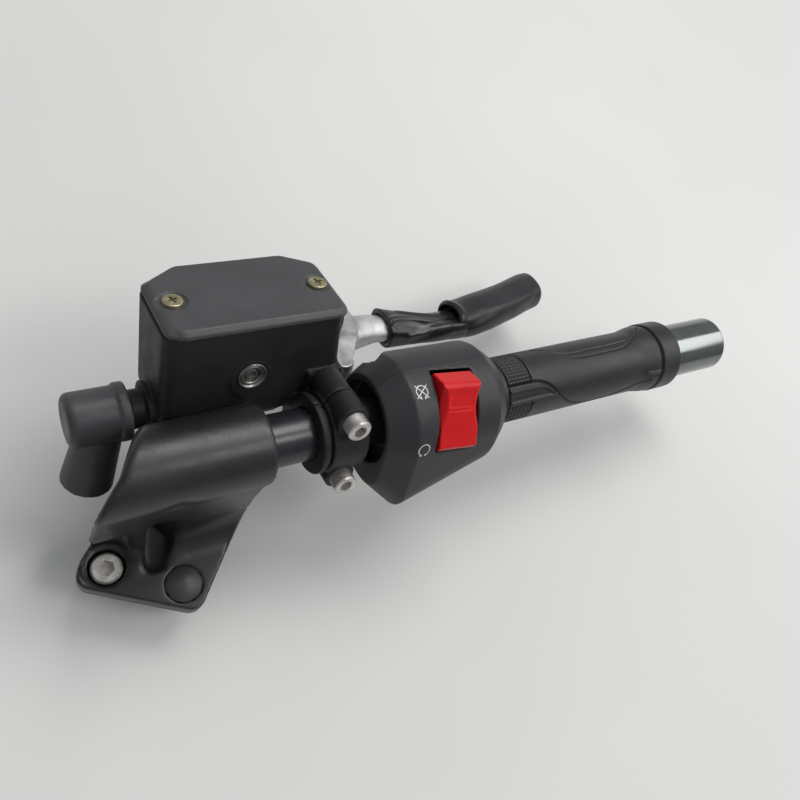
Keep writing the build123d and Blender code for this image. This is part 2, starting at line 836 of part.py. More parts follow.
def cheek_cutter(side):
    """Slanted round bar that hollows the rocker's cheek on one side, -1 inboard or 1 outboard."""
    slope = radians(cheek_slope)
    along = Vector(-side * sin(slope), 0, cos(slope))
    outward = Vector(side * cos(slope), 0, sin(slope))
    start = Vector(side * rocker_waist, 0, housing_r + rocker_middle) + outward * cheek_r - along * cheek_r
    return stud(cheek_r, tuple(start), tuple(along), 2 * cheek_r)


def make_rocker():
    face = switch_plane()
    # On this plane x runs up the face and y out of the housing
    side = Plane(origin=face.origin, x_dir=face.y_dir, z_dir=face.x_dir)
    outline = Polyline(*[(y, housing_r + z) for y, z in rocker_profile], close=True)
    body = extrude(side * make_face(outline), amount=rocker_half, both=True)
    for cheek in (-1, 1):
        body -= face * cheek_cutter(cheek)
    return body - rocker_pin_line(rocker_pin_r + rocker_pin_fit, rocker_half + 1)


def make_rocker_pin():
    return rocker_pin_line(rocker_pin_r, rocker_half + rocker_pin_seat)


# Throttle

def make_throttle_tube():
    drum_end = housing_end - drum_inset
    drum_start = drum_end - drum_width
    end = grip_end - weight_gap
    tube = rod(throttle_outer, drum_start, end) + rod(drum_r, drum_start, drum_end)
    groove = rod(drum_r + 1, drum_start + drum_rim, drum_end - drum_rim)
    tube -= groove - rod(drum_r - drum_groove, drum_start, drum_end)
    return tube - rod(throttle_inner, drum_start - 1, end + 1)


def make_grip():
    """Turned rubber sleeve with a flared end and a grooved collar."""
    collar_start = grip_end - collar_width
    groove_start = collar_start - collar_groove
    profile = Polyline(
        (grip_start, throttle_outer),
        (grip_start, grip_r - grip_edge),
        (grip_start + grip_edge, grip_r),
        (groove_start - grip_flare, grip_r),
        (groove_start - grip_edge, collar_r - grip_edge / 2),
        (groove_start, collar_groove_r),
        (collar_start, collar_groove_r),
        (collar_start + grip_edge, collar_r),
        (grip_end - grip_edge, collar_r),
        (grip_end, collar_r - grip_edge),
        (grip_end, throttle_outer),
        close=True,
    )
    return revolve(Plane.XY * make_face(profile), Axis.X)


# Bar tube and bar end

def make_bar_tube():
    return rod(bar_r, bar_start, bar_finish) - rod(bar_r - bar_wall, bar_start - 1, bar_finish + 1)


def make_bar_end():
    body = rod(weight_r, weight_start, weight_end)
    body = fillet(body.edges().sort_by(Axis.X)[-1], weight_round)
    body = chamfer(body.edges().sort_by(Axis.X)[0], weight_round / 2)
    body += rod(bar_r - bar_wall - neck_fit, weight_start - neck_length, weight_start)
    body -= rod(weight_recess_r, weight_end - weight_recess, weight_end + 1)
    return body - rod(m6[0] + thread_fit, weight_start - neck_length - 1, weight_end)


def make_bar_end_screw():
    return socket_screw(m6, (weight_end - weight_recess, 0, 0), (1, 0, 0), weight_screw_reach)


housing = make_housing_body()
row_pieces = {
    "bar_bracket": make_bracket(),
    "bracket_bolt_inboard": make_foot_bolt(-foot_pitch / 2),
    "bracket_bolt_outboard": make_foot_bolt(foot_pitch / 2),
    "bracket_plug": make_foot_plug(),
}
bar_pieces = {
    "bar_tube": make_bar_tube(),
    "master_cylinder": make_master_cylinder(),
    "reservoir_cap": make_cap(),
    "cap_screw_inboard": make_cap_screw(cap_screw_places()[0]),
    "cap_screw_outboard": make_cap_screw(cap_screw_places()[1]),
    "sight_glass_ring": make_glass_ring(),
    "sight_glass": make_glass(),
    "clamp_cap": make_clamp_cap(),
    "clamp_bolt_upper": make_clamp_bolt(clamp_bolt_w),
    "clamp_bolt_lower": make_clamp_bolt(-clamp_bolt_w),
    "piston": make_piston(),
    "dust_seal": make_dust_seal(),
    "hose_boot": make_hose_boot(),
    "brake_lever": make_lever(),
    "lever_sleeve": make_sleeve(),
    "pivot_bolt": make_pivot_bolt(),
    "pivot_nut": make_pivot_nut(),
    "switch_housing_rear": make_housing_rear(housing),
    "switch_housing_front": make_housing_front(housing),
    "housing_screw_upper": make_housing_screw(screw_places()[0]),
    "housing_screw_lower": make_housing_screw(screw_places()[1]),
    "kill_switch": make_rocker(),
    "kill_switch_pin": make_rocker_pin(),
    "throttle_tube": make_throttle_tube(),
    "grip": make_grip(),
    "bar_end": make_bar_end(),
    "bar_end_screw": make_bar_end_screw(),
}

for name, shape in row_pieces.items():
    export_step(shape, f"parts/{name}.step")
for name, shape in bar_pieces.items():
    export_step(in_row(shape), f"parts/{name}.step")
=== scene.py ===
import json
from math import cos, exp, hypot, pi, radians, sin

import bmesh
import bpy
from mathutils import Euler, Matrix, Vector, noise
from mathutils.bvhtree import BVHTree
from mathutils.kdtree import KDTree

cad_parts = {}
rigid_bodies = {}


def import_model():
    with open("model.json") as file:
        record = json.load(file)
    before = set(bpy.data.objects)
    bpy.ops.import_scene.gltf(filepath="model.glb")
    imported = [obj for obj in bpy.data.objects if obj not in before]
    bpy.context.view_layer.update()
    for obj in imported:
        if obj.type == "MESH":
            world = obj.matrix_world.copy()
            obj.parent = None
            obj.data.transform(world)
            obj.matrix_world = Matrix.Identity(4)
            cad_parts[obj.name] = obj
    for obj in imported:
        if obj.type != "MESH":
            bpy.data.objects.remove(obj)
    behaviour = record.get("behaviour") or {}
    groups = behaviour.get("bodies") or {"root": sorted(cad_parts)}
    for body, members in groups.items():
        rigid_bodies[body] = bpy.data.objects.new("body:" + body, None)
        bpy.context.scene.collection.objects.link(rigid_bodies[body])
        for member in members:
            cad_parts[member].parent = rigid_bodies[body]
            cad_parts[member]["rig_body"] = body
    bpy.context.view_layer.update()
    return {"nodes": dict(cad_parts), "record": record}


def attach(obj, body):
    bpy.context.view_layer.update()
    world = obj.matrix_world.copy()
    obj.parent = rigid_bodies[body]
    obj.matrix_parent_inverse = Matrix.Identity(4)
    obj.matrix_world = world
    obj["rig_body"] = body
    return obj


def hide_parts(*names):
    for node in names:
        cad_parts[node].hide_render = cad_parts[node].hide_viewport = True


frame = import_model()
nodes = frame["nodes"]
scene = bpy.context.scene

# Bar frame, as in the CAD and in millimetres: u outboard along the bar, v forward, w up out of the cap
bar_origin = Vector((-10.5, 28.1, 65.7))
bar_sweep = radians(29.9)
bar_droop = radians(5.0)
cap_lean = radians(25.0)
bar_u = Vector((cos(bar_droop) * cos(bar_sweep), cos(bar_droop) * sin(bar_sweep), -sin(bar_droop)))
level_up = Vector((sin(bar_droop) * cos(bar_sweep), sin(bar_droop) * sin(bar_sweep), cos(bar_droop)))
bar_w = Matrix.Rotation(-cap_lean, 3, bar_u) @ level_up
bar_v = bar_w.cross(bar_u)


def at(u, v, w):
    """Row place, in metres, of a place in the bar frame in millimetres."""
    return (bar_origin + bar_u * u + bar_v * v + bar_w * w) / 1000


def in_bar(place):
    """Bar frame place, in millimetres, of a row place in metres."""
    away = Vector(place) * 1000 - bar_origin
    return Vector((away.dot(bar_u), away.dot(bar_v), away.dot(bar_w)))


def round_bar(u, r, angle):
    """Place on a ring round the bar: angle 0 faces the rider and 90 degrees faces up."""
    return at(u, -r * cos(radians(angle)), r * sin(radians(angle)))


def reach(node):
    """Lowest and highest u, v and w of a node, in millimetres."""
    places = [in_bar(v.co) for v in nodes[node].data.vertices]
    low = Vector([min(p[i] for p in places) for i in range(3)])
    high = Vector([max(p[i] for p in places) for i in range(3)])
    return low, high


# Camera, where the photograph was taken from: place in metres, turn in degrees, lens in millimetres

camera_place = (-0.00388, -0.06545, 0.3696)
camera_turn = (22.854, -19.427, 8.382)
camera_lens = 36.58

camera = bpy.data.objects.new("camera", bpy.data.cameras.new("camera"))
scene.collection.objects.link(camera)
camera_tilt = Euler([radians(angle) for angle in camera_turn])
camera.matrix_world = Matrix.Translation(camera_place) @ camera_tilt.to_matrix().to_4x4()
camera.data.sensor_width = 36.0
camera.data.lens = camera_lens
camera.data.clip_start = 0.01
scene.camera = camera


# Materials

# Pointiness over which a surface passes from its hollows, darkened as painted shade, to flat, and from flat
# to a worn edge
hollow_range = (0.42, 0.495)
edge_range = (0.52, 0.6)


def node_tree(name):
    mat = bpy.data.materials.new(name)
    mat.use_nodes = True
    tree = mat.node_tree
    return mat, tree, tree.nodes["Principled BSDF"]


def link(tree, a, b):
    tree.links.new(a, b)


def add_noise(tree, scale, detail):
    """Noise in the part's own frame, its scale given as features per metre."""
    coords = tree.nodes.new("ShaderNodeTexCoord")
    texture = tree.nodes.new("ShaderNodeTexNoise")
    texture.inputs["Scale"].default_value = scale
    texture.inputs["Detail"].default_value = detail
    link(tree, coords.outputs["Object"], texture.inputs["Vector"])
    return texture.outputs["Fac"]


def add_range(tree, value, low, high, start=0.3, end=0.7):
    """Value carried from the span start to end over to the span low to high."""
    span = tree.nodes.new("ShaderNodeMapRange")
    span.inputs["From Min"].default_value = start
    span.inputs["From Max"].default_value = end
    span.inputs["To Min"].default_value = low
    span.inputs["To Max"].default_value = high
    link(tree, value, span.inputs["Value"])
    return span.outputs["Result"]


def add_mix(tree, factor, first, second):
    """Mix of two colours, each a colour or a socket."""
    mix = tree.nodes.new("ShaderNodeMix")
    mix.data_type = "RGBA"
    link(tree, factor, mix.inputs["Factor"])
    for value, socket in ((first, mix.inputs["A"]), (second, mix.inputs["B"])):
        if isinstance(value, tuple):
            socket.default_value = (*value, 1)
        else:
            link(tree, value, socket)
    return mix.outputs["Result"]


def add_bump(tree, value, depth):
    bump = tree.nodes.new("ShaderNodeBump")
    bump.inputs["Distance"].default_value = depth
    link(tree, value, bump.inputs["Height"])
    return bump.outputs["Normal"]


def surface(name, color, rough, spread, grain, depth, blotch, tone,
            metallic=0.0, specular=0.5, coat=0.0, edge=None, hollow_shade=0.0):
    """Moulded, painted or cast surface, whose tone and gloss drift in blotches, with fine grain in its shine.

    An edge is the colour and share of wear, and the share given for the hollows is how much darker they are
    painted, as painted shade, with their shine lowered as much.
    """
    mat, tree, shader = node_tree(name)
    shader.inputs["Metallic"].default_value = metallic
    shader.inputs["Specular IOR Level"].default_value = specular
    shader.inputs["Coat Weight"].default_value = coat
    drift = add_noise(tree, blotch, 4.0)
    dark = tuple(c * (1 - tone) for c in color)
    light = tuple(min(1.0, c * (1 + tone)) for c in color)
    shade = add_mix(tree, add_range(tree, drift, 0, 1), dark, light)
    if edge:
        shade = wear(tree, shade, *edge)
    if hollow_shade:
        # Painted shade: the hollows' colour is darkened towards a quarter of the base colour, and their shine
        # is lowered
        outward = tree.nodes.new("ShaderNodeNewGeometry").outputs["Pointiness"]
        painted_hollow_shade = add_range(tree, outward, hollow_shade, 0, *hollow_range)
        shade = add_mix(tree, painted_hollow_shade, shade, tuple(c / 4 for c in color))
        shine = add_range(tree, outward, specular * (1 - hollow_shade), specular, *hollow_range)
        link(tree, shine, shader.inputs["Specular IOR Level"])
    link(tree, shade, shader.inputs["Base Color"])
    fine = add_noise(tree, grain, 3.0)
    both = tree.nodes.new("ShaderNodeMath")
    both.operation = "ADD"
    link(tree, add_range(tree, drift, -spread, spread), both.inputs[0])
    link(tree, add_range(tree, fine, rough - spread / 2, rough + spread / 2), both.inputs[1])
    link(tree, both.outputs[0], shader.inputs["Roughness"])
    link(tree, add_bump(tree, fine, depth), shader.inputs["Normal"])
    return mat


def wear(tree, shade, color, amount):
    """Paler tone where the surface turns outward, broken up by noise."""
    outward = tree.nodes.new("ShaderNodeNewGeometry").outputs["Pointiness"]
    broken = tree.nodes.new("ShaderNodeMath")
    broken.operation = "MULTIPLY"
    link(tree, add_range(tree, outward, 0, amount, *edge_range), broken.inputs[0])
    link(tree, add_range(tree, add_noise(tree, 300, 5.0), 0, 1, 0.35, 0.6), broken.inputs[1])
    return add_mix(tree, broken.outputs[0], shade, color)


# Colour, roughness, its spread, grains per metre, their depth in metres, blotches per metre, their tone
bracket_paint = surface("bracket_paint", (0.014, 0.014, 0.015), 0.36, 0.08, 900, 0.00003, 45, 0.2,
                        edge=((0.13, 0.13, 0.13), 0.3))
tube_paint = surface("tube_paint", (0.014, 0.015, 0.018), 0.3, 0.05, 700, 0.000008, 60, 0.15)
cylinder_paint = surface("cylinder_paint", (0.014, 0.014, 0.015), 0.55, 0.08, 1100, 0.00004, 70, 0.25,
                         specular=0.3, edge=((0.07, 0.07, 0.07), 0.25))
cap_plastic = surface("cap_plastic", (0.056, 0.056, 0.058), 0.46, 0.06, 1600, 0.00002, 50, 0.12,
                      specular=0.4)
housing_plastic = surface("housing_plastic", (0.026, 0.026, 0.028), 0.48, 0.05, 1900, 0.00003, 40, 0.12,
                          specular=0.4)
red_plastic = surface("red_plastic", (0.60, 0.007, 0.009), 0.34, 0.04, 800, 0.000006, 50, 0.1,
                      specular=0.3)
# The grip's grooves and knurl cells are darkened as painted shade
grip_rubber = surface("grip_rubber", (0.014, 0.014, 0.014), 0.44, 0.08, 1800, 0.00003, 60, 0.25,
                      specular=0.45, hollow_shade=0.85)
sleeve_rubber = surface("sleeve_rubber", (0.014, 0.014, 0.016), 0.36, 0.08, 900, 0.00002, 70, 0.3,
                        specular=0.4)
neck_rubber = surface("neck_rubber", (0.010, 0.010, 0.012), 0.31, 0.06, 900, 0.00001, 70, 0.3)
boot_rubber = surface("boot_rubber", (0.05, 0.05, 0.053), 0.46, 0.1, 1200, 0.00003, 70, 0.25,
                      specular=0.4)
plug_rubber = surface("plug_rubber", (0.045, 0.045, 0.046), 0.48, 0.06, 1500, 0.00002, 90, 0.15)
bolt_steel = surface("bolt_steel", (0.56, 0.54, 0.50), 0.42, 0.1, 1300, 0.00003, 240, 0.3, metallic=0.75)
screw_zinc = surface("cap_screw_zinc", (0.36, 0.33, 0.20), 0.4, 0.1, 1500, 0.00003, 300, 0.3, metallic=0.85)
aluminium = surface("lever_aluminium", (0.50, 0.50, 0.49), 0.5, 0.1, 1000, 0.00006, 120, 0.3, metallic=0.85)
chrome = surface("bar_end_chrome", (0.17, 0.18, 0.175), 0.16, 0.03, 600, 0.000004, 90, 0.1, metallic=1.0)
ring_metal = surface("ring_metal", (0.26, 0.25, 0.23), 0.34, 0.06, 900, 0.00002, 200, 0.2, metallic=0.9)
sign_white = surface("sign_white", (0.62, 0.62, 0.60), 0.5, 0.05, 1500, 0.000004, 400, 0.15)
window_glass = surface("glass_window", (0.07, 0.07, 0.065), 0.12, 0.02, 500, 0.000004, 300, 0.4, coat=1.0)

looks = {
    "bar_bracket": bracket_paint,
    "bracket_bolt_inboard": bolt_steel,
    "bracket_bolt_outboard": bolt_steel,
    "bracket_plug": plug_rubber,
    "bar_tube": tube_paint,
    "master_cylinder": cylinder_paint,
    "reservoir_cap": cap_plastic,
    "cap_screw_inboard": screw_zinc,
    "cap_screw_outboard": screw_zinc,
    "sight_glass_ring": ring_metal,
    "sight_glass": window_glass,
    "clamp_cap": cylinder_paint,
    "clamp_bolt_upper": bolt_steel,
    "clamp_bolt_lower": bolt_steel,
    "piston": aluminium,
    "dust_seal": boot_rubber,
    "hose_boot": boot_rubber,
    "brake_lever": aluminium,
    "lever_sleeve": sleeve_rubber,
    "pivot_bolt": bolt_steel,
    "pivot_nut": bolt_steel,
    "switch_housing_rear": housing_plastic,
    "switch_housing_front": housing_plastic,
    "housing_screw_upper": bolt_steel,
    "housing_screw_lower": bolt_steel,
    "kill_switch": red_plastic,
    "kill_switch_pin": bolt_steel,
    "throttle_tube": housing_plastic,
    "grip": grip_rubber,
    "bar_end": chrome,
    "bar_end_screw": bolt_steel,
}
for name, mat in looks.items():
    mesh = nodes[name].data
    mesh.materials.clear()
    mesh.materials.append(mat)


# Geometry helpers

def step_up(value, start, end):
    """Smooth rise from 0 to 1 between two values."""
    t = min(1.0, max(0.0, (value - start) / (end - start)))
    return t * t * (3 - 2 * t)


def wrap(angle):
    """The same angle between -180 and 180 degrees."""
    return (angle + 180) % 360 - 180


def smooth_line(points, step):
    """Points about a step apart on a smooth curve through the given ones."""
    points = [Vector(p).to_3d() for p in points]
    ends = [points[0], *points, points[-1]]
    line = []
    for a, b, c, d in zip(ends, ends[1:], ends[2:], ends[3:]):
        count = max(1, round((c - b).length / step))
        for i in range(count):
            t = i / count
            line.append(b + (c - a) * (t / 2) + (2 * a - 5 * b + 4 * c - d) * (t**2 / 2)
                        + (3 * b - a - 3 * c + d) * (t**3 / 2))
    return line + [points[-1]]


def stroke(points, half_width, height):
    """Ridge, or groove where height is negative, along a smooth line on an unrolled surface."""
    line = smooth_line(points, half_width / 4)
    tree = KDTree(len(line))
    for i, place in enumerate(line):
        tree.insert(place, i)
    tree.balance()
    return tree, half_width, height


def relief(strokes, x, y):
    """Height that the strokes add at a place on the unrolled surface."""
    total = 0.0
    for tree, half_width, height in strokes:
        distance = tree.find((x, y, 0))[2]
        if distance < half_width:
            total += height * (1 + cos(pi * distance / half_width)) / 2
    return total


def along(rows, x):
    """A table's values at x, on a smooth curve through its rows."""
    i = max([k for k in range(len(rows) - 1) if rows[k][0] <= x], default=0)
    before, low, high, after = rows[max(i - 1, 0)], rows[i], rows[i + 1], rows[min(i + 2, len(rows) - 1)]
    span = high[0] - low[0]
    t = min(1.0, max(0.0, (x - low[0]) / span))
    values = []
    for b, p, q, a in zip(before[1:], low[1:], high[1:], after[1:]):
        leave = (q - b) / (high[0] - before[0]) * span
        arrive = (a - p) / (after[0] - low[0]) * span
        values.append(p * (2 * t**3 - 3 * t**2 + 1) + leave * (t**3 - 2 * t**2 + t)
                      + q * (3 * t**2 - 2 * t**3) + arrive * (t**3 - t**2))
    return values


def ring_skin(name, rings, mat, loop=False, cap=False):
    """Smooth object over rings of points: looped back to the first ring, or capped at the last."""
    count = len(rings[0])
    pairs = list(zip(range(len(rings) - 1), range(1, len(rings))))
    if loop:
        pairs.append((len(rings) - 1, 0))
    faces = []
    for near, far in pairs:
        for i in range(count):
            j = (i + 1) % count
            faces.append((near * count + i, near * count + j, far * count + j, far * count + i))
    if cap:
        last = (len(rings) - 1) * count
        faces.append(tuple(last + i for i in range(count)))
    mesh = bpy.data.meshes.new(name)
    mesh.from_pydata([p for ring in rings for p in ring], [], faces)
    return mesh_piece(name, mesh, mat)


def mesh_piece(name, mesh, mat):
    """Smooth-shaded object of a mesh, its faces turned outward."""
    work = bmesh.new()
    work.from_mesh(mesh)
    bmesh.ops.recalc_face_normals(work, faces=work.faces)
    work.to_mesh(mesh)
    work.free()
    for polygon in mesh.polygons:
        polygon.use_smooth = True
    mesh.materials.clear()
    mesh.materials.append(mat)
    piece = bpy.data.objects.new(name, mesh)
    scene.collection.objects.link(piece)
    return piece


def stand_for(piece, node):
    """Let a piece take a node's place."""
    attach(piece, nodes[node]["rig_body"])
    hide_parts(node)


def apply_modifiers(piece):
    """Make what a piece's modifiers show its own mesh."""
    graph = bpy.context.evaluated_depsgraph_get()
    mesh = bpy.data.meshes.new_from_object(piece.evaluated_get(graph))
    piece.modifiers.clear()
    piece.data = mesh
    for polygon in mesh.polygons:
        polygon.use_smooth = True


# Pieces with a node's own form, its sharp edges worn round as on a casting or moulding

weld_reach = 0.000005


def soften(piece, voxel, steps, keep):
    """Remesh a piece in voxels of a size in metres, smooth it in steps and keep a share of its faces."""
    weld = piece.modifiers.new("weld", "WELD")
    weld.merge_threshold = weld_reach
    remesh = piece.modifiers.new("remesh", "REMESH")
    remesh.mode = "VOXEL"
    remesh.voxel_size = voxel
    smooth = piece.modifiers.new("smooth", "SMOOTH")
    smooth.factor = 0.5
    smooth.iterations = steps
    thin = piece.modifiers.new("thin", "DECIMATE")
    thin.ratio = keep
    apply_modifiers(piece)


def soft_copy(node, voxel, steps, keep):
    """Softened copy of a node that stands in its place."""
    piece = mesh_piece(node + "_form", nodes[node].data.copy(), looks[node])
    soften(piece, voxel, steps, keep)
    stand_for(piece, node)
    return piece


soft_copy("clamp_cap", 0.0005, 5, 0.6)
soft_copy("hose_boot", 0.0006, 6, 0.6)
soft_copy("bracket_plug", 0.0004, 6, 0.6)


# Bracket: the scoop over its foot runs on up the web's rider side, fading out under the socket

foot_thick = 12.0
web_face = Vector((sin(bar_sweep), -cos(bar_sweep), 0))
web_along = Vector((cos(bar_sweep), sin(bar_sweep), 0))
# Where the web's rider face stands along web_face, and how far from it smoothing and carving reach
web_front, web_reach, carve_reach = -13.2, 13.0, 5.0
# The scoop: heights where it starts and ends, then its middle along the web at one height, and its slant
scoop_low, scoop_high = foot_thick - 4, 70.0
scoop_middle, scoop_middle_height, scoop_slant = 7.5, 25.0, 0.13
scoop_half, scoop_depth, scoop_narrowing = 8.0, 7.0, 0.4
scoop_blend = (2.0, 6.0)
# Round the inboard bolt's spot face, whose cut leaves a thin edge: heights and radii where smoothing fades
spot_rise, spot_fade, spot_reach = (foot_thick, foot_thick + 3), (36, 44), (15, 21)
web_smoothing = 60

bolt_points = [v.co * 1000 for v in nodes["bracket_bolt_inboard"].data.vertices]
bolt_middle = (Vector(map(min, zip(*bolt_points))) + Vector(map(max, zip(*bolt_points)))) / 2


def by_spot_face(place):
    """How much the web is smoothed at a place for being near the inboard bolt's spot face."""
    from_bolt = hypot(place.x - bolt_middle.x, place.y - bolt_middle.y)
    height_share = step_up(place.z, *spot_rise) * (1 - step_up(place.z, *spot_fade))
    return height_share * (1 - step_up(from_bolt, *spot_reach))


def scoop_web(piece):
    """Carve the scoop and smooth it into the web round it."""
    group = piece.vertex_groups.new(name="scoop")
    for vertex in piece.data.vertices:
        place = vertex.co * 1000
        from_web = abs(place.dot(web_face) - web_front)
        if by_spot_face(place) > 0:
            group.add([vertex.index], by_spot_face(place), "REPLACE")
        if not scoop_low < place.z < scoop_high or from_web > web_reach:
            continue
        rise = (place.z - scoop_low) / (scoop_high - scoop_low)
        half = scoop_half * (1 - scoop_narrowing * rise)
        middle = scoop_middle + scoop_slant * (place.z - scoop_middle_height)
        away = abs(place.dot(web_along) - middle)
        if away < half and from_web < carve_reach:
            depth = scoop_depth * (1 - rise**2) * (1 + cos(pi * away / half)) / 2
            vertex.co -= web_face * depth / 1000
        fade_start, fade_end = half + scoop_blend[0], half + scoop_blend[1]
        if away < fade_end:
            group.add([vertex.index], 1 - step_up(away, fade_start, fade_end), "REPLACE")
    smooth = piece.modifiers.new("smooth", "SMOOTH")
    smooth.factor = 0.5
    smooth.iterations = web_smoothing
    smooth.vertex_group = "scoop"
    apply_modifiers(piece)


scoop_web(soft_copy("bar_bracket", 0.0008, 10, 0.6))


# Reservoir: its left wall comes out flush with the cap's edge, with a thin neck behind the hose's flange

cap_over = 1.6
wall_left = reach("reservoir_cap")[0].x + cap_over
wall_keep = 28.0
wall_out, cap_out = 3.9, 1.6
# The neck and the skirt under the box: where each starts and ends along the bar, and over what it fades
neck_start, neck_end, neck_r = 1.9, 7.2, 8.0
neck_fade = 0.4
skirt_start, skirt_end, skirt_drop = 47.0, 65.0, 6.0
skirt_fade_v, skirt_fade_w = (17.0, 23.0), (7.6, 13.0)
seal_low, seal_high = reach("dust_seal")
barrel_v, barrel_w = (seal_low.y + seal_high.y) / 2, (seal_low.z + seal_high.z) / 2


def in_neck(u):
    """1 along the neck and 0 off its ends."""
    off_start = step_up(u, neck_start - neck_fade, neck_start + neck_fade)
    return off_start * (1 - step_up(u, neck_end, neck_end + 2 * neck_fade))


def under_box(place):
    """1 under the box's outboard end, where the skirt hangs lower, and 0 elsewhere."""
    under_end = step_up(place.x, skirt_start, skirt_start + 2)
    under_end *= 1 - step_up(place.x, skirt_end - 5, skirt_end)
    return under_end * (1 - step_up(place.y, *skirt_fade_v)) * (1 - step_up(place.z, *skirt_fade_w))


def shape_reservoir(piece):
    for vertex in piece.data.vertices:
        place = in_bar(vertex.co)
        reached = min(1.0, max(0.0, (place.x - neck_start) / (wall_left - 0.5 - neck_start)))
        place.x -= wall_out * reached * (1 - step_up(place.x, wall_left + 1, wall_keep))
        place.z -= skirt_drop * under_box(place)
        away = Vector((place.y - barrel_v, place.z - barrel_w))
        inside = in_neck(place.x)
        if inside > 0 and away.length > neck_r:
            away *= 1 + (neck_r / away.length - 1) * inside
            place.y, place.z = barrel_v + away.x, barrel_w + away.y
        vertex.co = at(*place)


def shape_cap(piece):
    for vertex in piece.data.vertices:
        place = in_bar(vertex.co)
        place.x -= cap_out * (1 - step_up(place.x, wall_left - 1, wall_left + 1))
        vertex.co = at(*place)


shape_reservoir(soft_copy("master_cylinder", 0.0006, 6, 0.4))
shape_cap(soft_copy("reservoir_cap", 0.0005, 3, 0.5))


# Level window: turned metal ring and stepped glass, each a profile of radius and height over the face

ring_profile = [
    (6.0, -2.0), (6.1, -0.3), (5.9, 0.0), (5.45, 0.0), (5.25, -0.2), (5.1, -0.9),
    (4.75, -0.9), (4.6, -0.5), (4.2, -0.45), (3.6, -0.6), (3.4, -1.3), (3.4, -2.0),
]
glass_profile = [(3.5, -1.7), (2.7, -1.5), (2.5, -1.2), (1.5, -1.1), (1.2, -1.6), (0.6, -1.6)]
window_points = 64
ring_low, ring_high = reach("sight_glass_ring")
window_u, window_v, window_w = (ring_low.x + ring_high.x) / 2, ring_low.y, (ring_low.z + ring_high.z) / 2


def turned(name, node, profile, cap=False):
    """Piece turned about the window's axis, in a node's place."""
    turns = [2 * pi * i / window_points for i in range(window_points)]
    rings = []
    for r, height in profile:
        rings.append([at(window_u + r * cos(t), window_v - height, window_w + r * sin(t)) for t in turns])
    stand_for(ring_skin(name, rings, looks[node], cap=cap), node)


turned("sight_ring_form", "sight_glass_ring", ring_profile)
turned("sight_glass_form", "sight_glass", glass_profile, cap=True)


# Switch housing: both halves softened as one body, then parted again at a fine seam

split_v = -2.0
seam = 0.12
half_gap = 0.2


def make_housing():
    """Both halves as one soft body, the front one moved up to the rear one."""
    work = bmesh.new()
    work.from_mesh(nodes["switch_housing_front"].data)
    bmesh.ops.translate(work, verts=work.verts, vec=-bar_v * 2 * half_gap / 1000)
    work.from_mesh(nodes["switch_housing_rear"].data)
    mesh = bpy.data.meshes.new("housing")
    work.to_mesh(mesh)
    work.free()
    whole = mesh_piece("housing", mesh, looks["switch_housing_rear"])
    soften(whole, 0.0006, 7, 0.5)
    return whole


def cut_half(whole, node, side):
    """Part of the housing on one side of the seam, -1 behind it or 1 in front."""
    work = bmesh.new()
    work.from_mesh(whole.data)
    cut_place = at(0, split_v + side * seam / 2, 0)
    bmesh.ops.bisect_plane(work, geom=work.verts[:] + work.edges[:] + work.faces[:], dist=1e-7,
                           plane_co=cut_place, plane_no=-side * bar_v, clear_outer=True)
    mesh = bpy.data.meshes.new(node + "_form")
    work.to_mesh(mesh)
    work.free()
    piece = mesh_piece(node + "_form", mesh, looks[node])
    stand_for(piece, node)
    return piece


housing = make_housing()
housing_surface = BVHTree.FromObject(housing, bpy.context.evaluated_depsgraph_get())
cut_half(housing, "switch_housing_rear", -1)
cut_half(housing, "switch_housing_front", 1)
bpy.data.objects.remove(housing)


# Grip: knurled inboard band, raised bars and moulded lines, the whole pattern repeated on the far side

grip_r, grip_bore_r = 15.87, 12.9
grip_low, grip_high = reach("grip")
grip_start, grip_end, collar_r = grip_low.x, grip_high.x, grip_high.y
# The knurled band, as distances from the grip's start, and the cells in it along and round the grip
band_from, band_to = 5.8, 19.6
knurl_rows, knurl_turns, knurl_depth, knurl_half = 6, 50, 0.9, 0.37
plain_low, plain_high = 12.6, 50.4
ring_line = grip_end - 13.5
ring_depth, ring_half = 1.3, 1.3
flare_r, flare_length = 17.4, 14.0
end_round = 1.2
pattern_low, pattern_turn = -45, 180
columns = 6 * knurl_turns
arc = pi * grip_r / 180


def grip_line(points, half_width, height):
    """Stroke through places given as millimetres from the grip's start and degrees round it."""
    return stroke([(grip_start + u, angle * arc) for u, angle in points], half_width, height)


